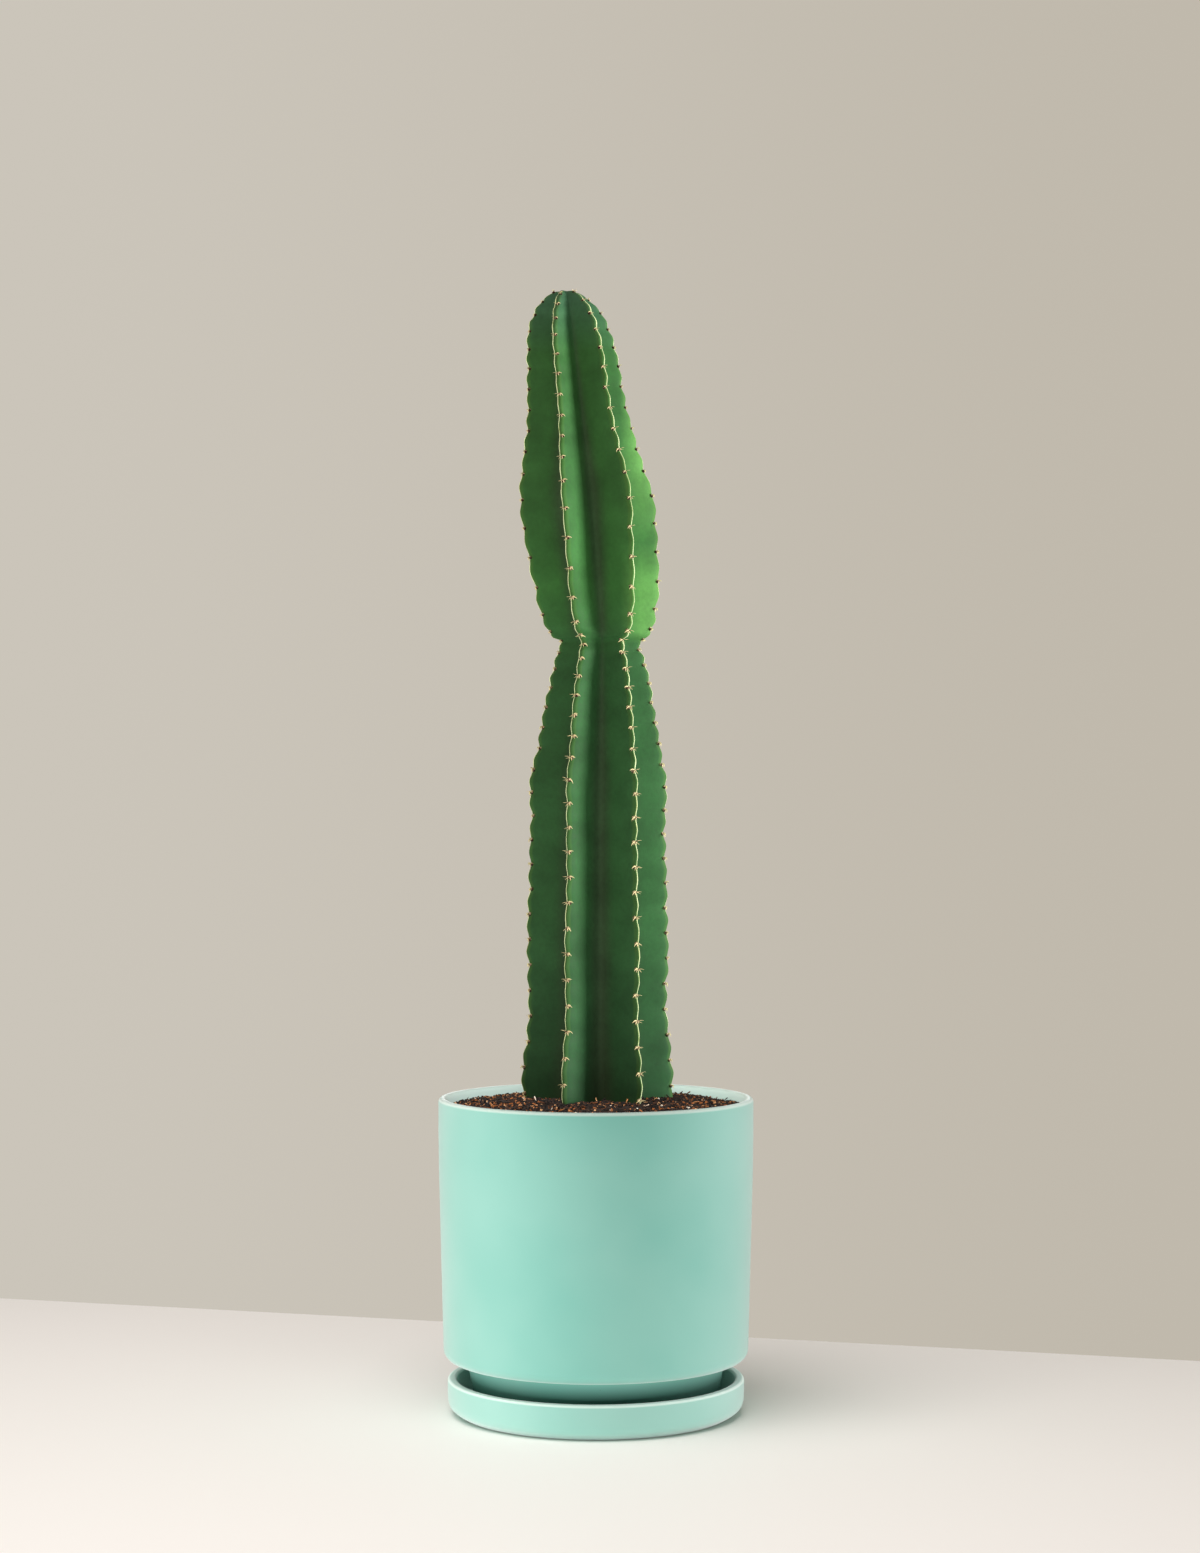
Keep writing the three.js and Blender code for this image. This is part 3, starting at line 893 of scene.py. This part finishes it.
def make_crest_lines(context):
    growth = Growth(context.scene.cactus_stem)
    sizes = growth.sizes
    cork = crest_cork("corky_crest_line")
    grown = (growth.heights > growth.soil - 6 * MM) & (growth.crests > 7 * MM)
    stations = np.linspace(*growth.lengths[grown][[0, -1]], LINE_STATIONS)
    sides, steps = len(LINE_SECTION) - 1, LINE_STATIONS - 1
    for rib in range(sizes.ribs):
        # A flat sheet is rolled round the line's section, closed along its seam and at both ends.
        bm = bmesh.new()
        bmesh.ops.create_grid(bm, x_segments=sides, y_segments=steps, size=1)
        spread = (np.array([v.co.xy for v in bm.verts]) + 1) / 2 * (sides, steps)
        corner, step = np.rint(spread).astype(int).T
        reach, lift = np.array(LINE_SECTION)[corner].T
        at = stations[step]
        sway = 0.15 * np.sin(at / (12 * MM) + rib) + 0.1 * np.sin(at / (4.3 * MM) + 2 * rib)
        swell = 1 + 0.2 * np.sin(at / (7 * MM) + 3 * rib) + 0.15 * np.sin(at / (2.9 * MM) + rib)
        middle = (LINE_OFFSET[rib % len(LINE_OFFSET)] + sway) * MM
        side = middle + reach * swell * sizes.line_width / 2
        turn = side / (np.pi / sizes.ribs * np.interp(at, growth.lengths, growth.crests))
        place = rib + np.sign(turn) * np.abs(turn) ** (1 / CREST_CROWDING) / 2
        points, _ = growth.surface(place, at)
        out = points - np.stack([growth.middle(points[:, 2]), 0 * at, points[:, 2]], axis=-1)
        out *= (lift * sizes.line_height / np.linalg.norm(out, axis=1))[:, None]
        for v, point in zip(bm.verts, points + out):
            v.co = point
        bmesh.ops.remove_doubles(bm, verts=bm.verts, dist=SAME_POINT)
        bmesh.ops.holes_fill(bm, edges=[e for e in bm.edges if e.is_boundary])
        piece = finished(bm, f"crest_line_rib_{rib + 1}", cork)
        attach(piece, "root")


# ---- Areoles and spines ----


def wool_pad(dice):
    """A low cushion of matted wool, a unit in radius, for scaling to size."""
    bm = bmesh.new()
    bmesh.ops.create_icosphere(bm, subdivisions=2, radius=1)
    for v in bm.verts:
        v.co *= 1 + dice.uniform(-0.16, 0.16)
    return kept_mesh(bm, "wool_pad")


def make_areoles(context):
    growth = Growth(context.scene.cactus_stem)
    sizes = context.scene.cactus_areole
    dice = random.Random(SEED)
    pads = [wool_pad(dice) for _ in range(4)]
    felt = areole_felt("areole_wool")
    for rib in range(growth.sizes.ribs):
        shapes, places, uppers = [], [], []
        for at in growth.areoles(rib):
            age = growth.age(at)
            size = (0.85 + 0.15 * age) * dice.uniform(0.88, 1.12)
            scale = Matrix.Diagonal((
                sizes.width / 2 * size, sizes.height / 2 * size, sizes.thickness * size, 1
            ))
            beside = (0.4 * HOOK_SIDE[rib % len(HOOK_SIDE)] + dice.uniform(-0.3, 0.3)) * MM
            sunk = Matrix.Translation((beside, -0.1 * MM, -0.4 * MM))
            pad = dice.choice(pads)
            shapes.append(pad)
            places.append(growth.crest_frame(rib, at) @ sunk @ scale)
            uppers.extend(0.12 + 0.45 * v.co.y + 0.34 * age for v in pad.vertices)
        piece = finished(scattered(shapes, places), f"areoles_rib_{rib + 1}", felt)
        mark(piece, "pad_upper", uppers)
        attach(piece, "root")


def spine_mesh(bend, width, sides=5, cuts=4):
    """A spine a unit long along Z that curves towards -Y, and how far along it its points are."""
    bm = bmesh.new()
    bmesh.ops.create_cone(bm, cap_ends=True, segments=sides, radius1=1, radius2=0.15, depth=1)
    bmesh.ops.translate(bm, vec=(0, 0, 0.5), verts=bm.verts)
    upright = [e for e in bm.edges if abs(e.verts[0].co.z - e.verts[1].co.z) > 0.5]
    bmesh.ops.subdivide_edges(bm, edges=upright, cuts=cuts)
    shares = [v.co.z for v in bm.verts]
    for v, along in zip(bm.verts, shares):
        turn = bend * along
        x, y = v.co.x * width, v.co.y * width
        v.co = Vector((
            x,
            y * math.cos(turn) - (1 - math.cos(turn)) / bend,
            math.sin(turn) / bend + y * math.sin(turn),
        ))
    return kept_mesh(bm, "spine"), shares


def spine_place(heading, lift, reach, droop):
    """A matrix for a spine that leaves in a heading, in degrees clockwise from up, and droops."""
    turn, tilt = math.radians(heading), math.radians(lift)
    aim = Vector((math.sin(turn) * math.sin(tilt), math.cos(turn) * math.sin(tilt), math.cos(tilt)))
    pull = Vector(droop)
    back = -(pull - pull.dot(aim) * aim).normalized()
    across = back.cross(aim)
    return Matrix((across, back, aim)).transposed().to_4x4() @ Matrix.Scale(reach, 4)


def make_spines(context):
    growth = Growth(context.scene.cactus_stem)
    sizes = context.scene.cactus_areole
    dice = random.Random(SEED + 1)
    thickness = sizes.spine_radius / sizes.spine_length
    # Strong claws, and thin straighter spines that stay dark for most of their length.
    claws = [spine_mesh(bend, 1.6 * thickness) for bend in (1.3, 1.7, 2.1)]
    needles = [spine_mesh(bend, 0.85 * thickness, sides=4, cuts=3) for bend in (0.3, 0.6)]
    horn = spine_horn("spine_horn")
    for rib in range(growth.sizes.ribs):
        hook = HOOK_SIDE[rib % len(HOOK_SIDE)]
        shapes, places, shares = [], [], []
        for at in growth.areoles(rib):
            age = growth.age(at)
            grown = sizes.spine_length * (0.72 + 0.28 * age) * dice.uniform(0.85, 1.1)
            beside = Matrix.Translation((0.3 * hook * MM, 0.2 * MM, 0.4 * MM))
            root = growth.crest_frame(rib, at) @ beside
            between = dice.uniform
            # Kind, heading, lift, share of the full length, droop and how pale its tip is.
            spines = [
                (claws, hook * between(45, 80), between(50, 65), 1, (0.2 * hook, -1, -0.4), 1),
                (claws, hook * between(100, 140), between(50, 70), 0.6, (0, -1, -0.3), 1),
                (claws, -hook * between(60, 120), between(45, 65), 0.5, (-0.3 * hook, -1, 0), 0.8),
                (needles, -hook * between(60, 85), between(55, 75), 0.9, (0, -1, 0), 0.45),
                (needles, -hook * between(90, 130), between(60, 78), 0.75, (0, -1, 0), 0.6),
                (needles, between(150, 210), between(55, 75), 0.55, (0, -1, 0), 0.9),
            ]
            for kinds, heading, lift, size, droop, pale in spines:
                shape, along = dice.choice(kinds)
                if size < 1 and dice.random() < LOST_SPINES:
                    continue
                shapes.append(shape)
                places.append(root @ spine_place(heading, lift, size * grown, droop))
                shares.extend(a * pale * (0.8 + 0.2 * age) for a in along)
        piece = finished(scattered(shapes, places), f"spines_rib_{rib + 1}", horn)
        mark(piece, "along_spine", shares)
        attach(piece, "root")


# ---- Soil ----


def soil_height(context, x, y):
    """Height of the soil's surface: low at the wall, banked towards the stem, and never level."""
    pot, soil, stem = context.scene.cactus_pot, context.scene.cactus_soil, context.scene.cactus_stem
    radius = math.hypot(x, y)
    level = stem.lower_radius - soil.bank_inset
    bank = 1 - float(smoothstep(radius, level, pot.rim_radius - pot.wall))
    a, b = x / MM, y / MM
    broad = math.sin(a / 12 + 0.8) * math.cos(b / 15 - 0.4)
    small = math.sin((a + 2 * b) / 17) * math.cos((2 * a - b) / 19)
    uneven = soil.unevenness * (broad + small) / 2
    return pot.rim_height - soil.below_rim + soil.bank * bank + uneven


def make_soil_bed(context):
    pot, soil = context.scene.cactus_pot, context.scene.cactus_soil
    edge = pot.rim_radius - pot.wall - REST_GAP
    rings = int(edge / SOIL_RING)
    top = [(edge * i / rings, pot.rim_height - soil.below_rim, 0) for i in range(rings + 1)]
    floor = (0, pot.base_height + pot.floor + REST_GAP, 0)
    bm = turned([*top, *pot_hollow(context, REST_GAP), floor], steps=240)
    for v in bm.verts:
        if v.co.z > pot.rim_height - soil.below_rim - 0.01 * MM:
            crumb = noise.noise(v.co / (5 * MM)) + 0.7 * noise.noise(v.co / (2.2 * MM))
            v.co.z = soil_height(context, v.co.x, v.co.y) + soil.crumb_height * crumb
    tones = context.scene.cactus_colours
    mix = potting_mix("peat_bed", ((0, tones.soil_dark), (1, tones.soil_brown)))
    heights = [noise.noise(v.co / (2.6 * MM)) for v in bm.verts]
    piece = finished(bm, "soil_bed", mix)
    mark(piece, "tone", [0.25 + 0.5 * h for h in heights])
    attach(piece, "root")
    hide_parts("soil")


def crumb_mesh(dice, stretch):
    """A broken crumb about a unit across."""
    bm = bmesh.new()
    bmesh.ops.create_icosphere(bm, subdivisions=1, radius=0.5)
    for v in bm.verts:
        v.co *= dice.uniform(0.7, 1.25)
    bmesh.ops.scale(bm, vec=stretch, verts=bm.verts)
    return kept_mesh(bm, "crumb")


def shred_mesh(dice):
    """A torn fibre of bark a unit long, thin, bent and frayed to a point."""
    bm = bmesh.new()
    bmesh.ops.create_cone(bm, cap_ends=True, segments=4, radius1=0.09, radius2=0.03, depth=1)
    upright = [e for e in bm.edges if abs(e.verts[0].co.z - e.verts[1].co.z) > 0.5]
    bmesh.ops.subdivide_edges(bm, edges=upright, cuts=2)
    for v in bm.verts:
        v.co.x += 0.18 * math.sin(3 * v.co.z + dice.uniform(0, 0.4))
        v.co.y *= 0.5
    bmesh.ops.rotate(
        bm, cent=(0, 0, 0), matrix=Matrix.Rotation(math.pi / 2, 3, "Y"), verts=bm.verts
    )
    return kept_mesh(bm, "shred")


def soil_places(context, growth, dice, count, sizes, tilt):
    """Random places on the open soil, outside the stem and inside the pot's wall."""
    pot, stem = context.scene.cactus_pot, context.scene.cactus_stem
    reach = pot.rim_radius - pot.wall - 1.5 * MM
    places = []
    while len(places) < count:
        x, y = (dice.uniform(-reach, reach) for _ in range(2))
        radius = math.hypot(x, y)
        from_stem = math.hypot(x - stem.offset, y)
        direction = math.atan2(y, x - stem.offset) - stem.rib_start
        place = (direction / (2 * math.pi / stem.ribs)) % stem.ribs
        across = abs(2 * (place - round(place)))
        skin = float(growth.section(across * math.pi / stem.ribs, stem.lower_radius, stem.valley))
        if radius > reach or from_stem < skin + 0.5 * MM:
            continue
        size = dice.triangular(*sizes) * MM
        height = soil_height(context, x, y) + 0.15 * size
        spin = Matrix.Rotation(dice.uniform(0, 2 * math.pi), 4, "Z")
        steep = tilt if dice.random() > UPENDED else UPENDED_TILT
        lean = Matrix.Rotation(dice.gauss(0, steep), 4, "X")
        lean = lean @ Matrix.Rotation(dice.gauss(0, steep), 4, "Y")
        places.append(Matrix.Translation((x, y, height)) @ spin @ lean @ Matrix.Scale(size, 4))
    return places


def make_soil_mix(context):
    growth = Growth(context.scene.cactus_stem)
    soil = context.scene.cactus_soil
    tones = context.scene.cactus_colours
    dice = random.Random(SEED + 2)
    crumbs = [crumb_mesh(dice, (1, 0.85, 0.7)) for _ in range(6)]
    chips = [crumb_mesh(dice, (1.3, 0.6, 0.3)) for _ in range(3)]
    shreds = [shred_mesh(dice) for _ in range(5)]
    grains = [crumb_mesh(dice, (1, 0.95, 0.9)) for _ in range(3)]
    peat = potting_mix("peat_crumbs", (
        (0, tones.soil_dark), (0.55, tones.soil_dark), (0.84, tones.soil_brown), (0.95, tones.bark),
        (1, tones.bark_dry),
    ))
    composted = potting_mix("composted_bark", (
        (0, tones.soil_dark), (0.36, tones.soil_brown), (0.72, tones.bark), (0.94, tones.bark_dry),
        (1, tones.perlite),
    ))
    # Name, shapes, count, sizes in millimetres (smallest, largest, commonest), tilt and material.
    mixes = (
        ("soil_crumbs", crumbs, soil.crumbs, (0.8, 3.2, 1.5), 1.2, peat),
        ("bark_chips", chips, soil.chips // 3, (1.5, 5.5, 2.5), 0.35, composted),
        ("bark_fibres", shreds, soil.chips, (2, 7, 3), 0.35, composted),
        ("perlite_grains", grains, soil.perlite, (0.7, 2.2, 1.1), 1.2, perlite_grain("perlite")),
    )
    for name, shapes, count, sizes, tilt, material in mixes:
        places = soil_places(context, growth, dice, count, sizes, tilt)
        chosen = [dice.choice(shapes) for _ in places]
        piece = finished(scattered(chosen, places), name, material, smooth=False)
        shades = [dice.random() for _ in chosen]
        mark(piece, "tone", [shade for shape, shade in zip(chosen, shades) for _ in shape.vertices])
        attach(piece, "root")


# ---- Stage ----


def aimed(name, data, place, target):
    """Puts a lamp or a camera in the scene, looking at a point."""
    thing = bpy.data.objects.new(name, data)
    thing.location = place
    way = Vector(target) - Vector(place)
    thing.rotation_euler = way.to_track_quat("-Z", "Y").to_euler()
    bpy.context.collection.objects.link(thing)
    return thing


def softbox(name, place, target, size, watts, tint, receivers, alone):
    """A soft rectangular lamp that lights only the given pieces and isn't seen itself."""
    # Where alone is set, other pieces throw no shadow in its light.
    data = bpy.data.lights.new(name, "AREA")
    data.shape = "RECTANGLE"
    data.size, data.size_y = size
    data.energy = watts
    data.color = linear(tint)[:3]
    lamp = aimed(name, data, place, target)
    lamp.visible_camera = False
    lit = bpy.data.collections.new(f"lit_by_{name}")
    for piece in receivers:
        lit.objects.link(piece)
    lamp.light_linking.receiver_collection = lit
    if alone:
        lamp.light_linking.blocker_collection = lit


def make_floor(context):
    bm = bmesh.new()
    bmesh.ops.create_grid(bm, x_segments=1, y_segments=1, size=1)
    bmesh.ops.scale(bm, vec=(*TABLE_HALF, 1), verts=bm.verts)
    bmesh.ops.translate(bm, vec=(0, TABLE_EDGE - TABLE_HALF[1], -TABLE_GAP), verts=bm.verts)
    turn = Matrix.Rotation(math.radians(TABLE_TURN), 3, "Z")
    bmesh.ops.rotate(bm, cent=(0, TABLE_EDGE, 0), matrix=turn, verts=bm.verts)
    floor = finished(bm, "floor", painted_board("matt_painted_board"))
    return floor


def make_world(context):
    tones = context.scene.cactus_colours
    world = bpy.data.worlds.new("studio")
    context.scene.world = world
    world.use_nodes = True
    world.node_tree.nodes.clear()
    across = add(world, "SeparateXYZ", {0: add(world, "TexCoord").outputs["Generated"]}).outputs[0]
    fade = ranged(world, across, -0.22, 0.22, smooth=True)
    wall = mixed(world, fade, tones.wall, tones.wall_far)
    seen = add(world, "Background", {"Color": wall, "Strength": 1})
    # Seen straight or mirrored in a gloss, the wall is itself. As a source of light it is dimmer.
    bounced = add(world, "Background", {"Color": tones.wall, "Strength": 0.4})
    rays = add(world, "LightPath").outputs
    seen_or_mirrored = maths(world, "MAXIMUM", rays["Is Camera Ray"], rays["Is Glossy Ray"])
    either = {0: seen_or_mirrored, 1: bounced.outputs[0], 2: seen.outputs[0]}
    add(world, "OutputWorld", {"Surface": add(world, "MixShader", either).outputs[0]})


def make_stage(context):
    floor = make_floor(context)
    make_world(context)
    pieces = {o.name: o for o in context.scene.objects if o.type == "MESH"}
    plant = [
        o for name, o in pieces.items() if name.startswith(("cactus", "crest", "areoles", "spines"))
    ]
    potted = [o for o in pieces.values() if o not in plant and o is not floor]
    low, high = (0, 0, 0.1), (0, 0, 0.45)
    bed = [o for o in potted if o.name.startswith(("soil", "bark", "perlite"))]
    glazed = [o for o in potted if o not in bed]
    edges = [o for o in plant if o.name.startswith(("crest", "spines"))]
    # Name, place, target, size, watts, tint, the pieces lit, and whether only these throw shadows.
    lamps = (
        ("left_window", (-1.6, -0.22, 0.55), low, (1.1, 1.3), 24, "#fffdf9", potted, True),
        ("right_window", (1.5, 0.16, 0.55), low, (0.7, 1.2), 17, "#ffffff", potted, True),
        ("front", (-0.2, -1.7, 0.7), low, (1, 0.5), 2.2, "#ffffff", potted, True),
        ("floor_glow", (-0.1, -0.5, 0.015), (0, 0, 0.06), (1, 0.02), 1.2, "#ffffff", potted, False),
        ("rim_glow", (0, -0.07, 0.25), (0, 0.1, 0.215), (0.05, 0.02), 0.1, "#ffffff", glazed, True),
        ("overhead", (-0.4, -0.75, 1.75), low, (1.8, 1.6), 39, "#fffcfa", [floor, *bed], False),
        ("plant_key", (1.6, -0.25, 0.62), high, (0.42, 1.2), 33, "#fffdf2", plant, False),
        ("plant_fill", (-0.9, -1.4, 1.1), high, (1, 1), 4.6, "#ffc6b8", plant, False),
        ("plant_edge", (-1.3, 0.5, 0.8), high, (0.3, 1.2), 2, "#fff6dc", plant, False),
        ("crest_light", (-0.2, -1.7, 0.8), high, (1, 1.2), 22, "#f8ffe6", edges, False),
    )
    for lamp in lamps:
        softbox(*lamp)
    camera = bpy.data.cameras.new("camera")
    camera.lens = LENS
    camera.sensor_width = SENSOR
    eye = Vector(EYE)
    rise = math.tan(math.radians(LOOKS_UP))
    context.scene.camera = aimed("camera", camera, eye, eye + Vector((0, 1, rise)))
    context.scene.view_settings.view_transform = "Standard"


# ---- Operators ----


class CACTUS_OT_saucer(bpy.types.Operator):
    """Turn the glazed saucer"""
    bl_idname = "cactus.saucer"
    bl_label = "Saucer"

    def execute(self, context):
        make_saucer(context)
        return {"FINISHED"}


class CACTUS_OT_pot(bpy.types.Operator):
    """Turn the glazed cylinder pot with its set-back foot"""
    bl_idname = "cactus.pot"
    bl_label = "Pot"

    def execute(self, context):
        make_pot(context)
        return {"FINISHED"}


class CACTUS_OT_soil_bed(bpy.types.Operator):
    """Fill the pot with banked soil"""
    bl_idname = "cactus.soil_bed"
    bl_label = "Soil bed"

    def execute(self, context):
        make_soil_bed(context)
        return {"FINISHED"}


class CACTUS_OT_soil_mix(bpy.types.Operator):
    """Strew crumbs, bark fibres and perlite on the soil"""
    bl_idname = "cactus.soil_mix"
    bl_label = "Soil mix"

    def execute(self, context):
        make_soil_mix(context)
        return {"FINISHED"}


class CACTUS_OT_stem(bpy.types.Operator):
    """Grow the ribbed stem with its waist and notched crests"""
    bl_idname = "cactus.stem"
    bl_label = "Stem"

    def execute(self, context):
        make_stem(context)
        return {"FINISHED"}


class CACTUS_OT_crest_lines(bpy.types.Operator):
    """Lay the corky lines along the crests"""
    bl_idname = "cactus.crest_lines"
    bl_label = "Crest lines"

    def execute(self, context):
        make_crest_lines(context)
        return {"FINISHED"}


class CACTUS_OT_areoles(bpy.types.Operator):
    """Set the woolly areoles in the crest notches"""
    bl_idname = "cactus.areoles"
    bl_label = "Areoles"

    def execute(self, context):
        make_areoles(context)
        return {"FINISHED"}


class CACTUS_OT_spines(bpy.types.Operator):
    """Grow the short curved spines from the areoles"""
    bl_idname = "cactus.spines"
    bl_label = "Spines"

    def execute(self, context):
        make_spines(context)
        return {"FINISHED"}


class CACTUS_OT_stage(bpy.types.Operator):
    """Set up the table, the soft lamps and the camera"""
    bl_idname = "cactus.stage"
    bl_label = "Stage"

    def execute(self, context):
        make_stage(context)
        return {"FINISHED"}


OPERATORS = (
    CACTUS_OT_saucer, CACTUS_OT_pot, CACTUS_OT_soil_bed, CACTUS_OT_soil_mix,
    CACTUS_OT_stem, CACTUS_OT_crest_lines, CACTUS_OT_areoles, CACTUS_OT_spines, CACTUS_OT_stage,
)


class CACTUS_PT_panel(bpy.types.Panel):
    """Lists the pieces in the order that they are made, with their sizes and colours"""
    bl_label = "Potted tall cactus"
    bl_idname = "CACTUS_PT_panel"
    bl_space_type = "VIEW_3D"
    bl_region_type = "UI"
    bl_category = "Cactus"

    def draw(self, context):
        for operator in OPERATORS:
            self.layout.operator(operator.bl_idname)
        for group, kind in GROUPS.items():
            box = self.layout.box()
            for name in kind.__annotations__:
                box.prop(getattr(context.scene, group), name)


def register():
    for kind in (*GROUPS.values(), *OPERATORS, CACTUS_PT_panel):
        bpy.utils.register_class(kind)
    for name, kind in GROUPS.items():
        setattr(bpy.types.Scene, name, PointerProperty(type=kind))


def unregister():
    for name in GROUPS:
        delattr(bpy.types.Scene, name)
    for kind in (CACTUS_PT_panel, *reversed(OPERATORS), *reversed(GROUPS.values())):
        bpy.utils.unregister_class(kind)


def main():
    register()
    bpy.ops.cactus.saucer()
    bpy.ops.cactus.pot()
    bpy.ops.cactus.soil_bed()
    bpy.ops.cactus.soil_mix()
    bpy.ops.cactus.stem()
    bpy.ops.cactus.crest_lines()
    bpy.ops.cactus.areoles()
    bpy.ops.cactus.spines()
    bpy.ops.cactus.stage()


if __name__ == "__main__":
    main()
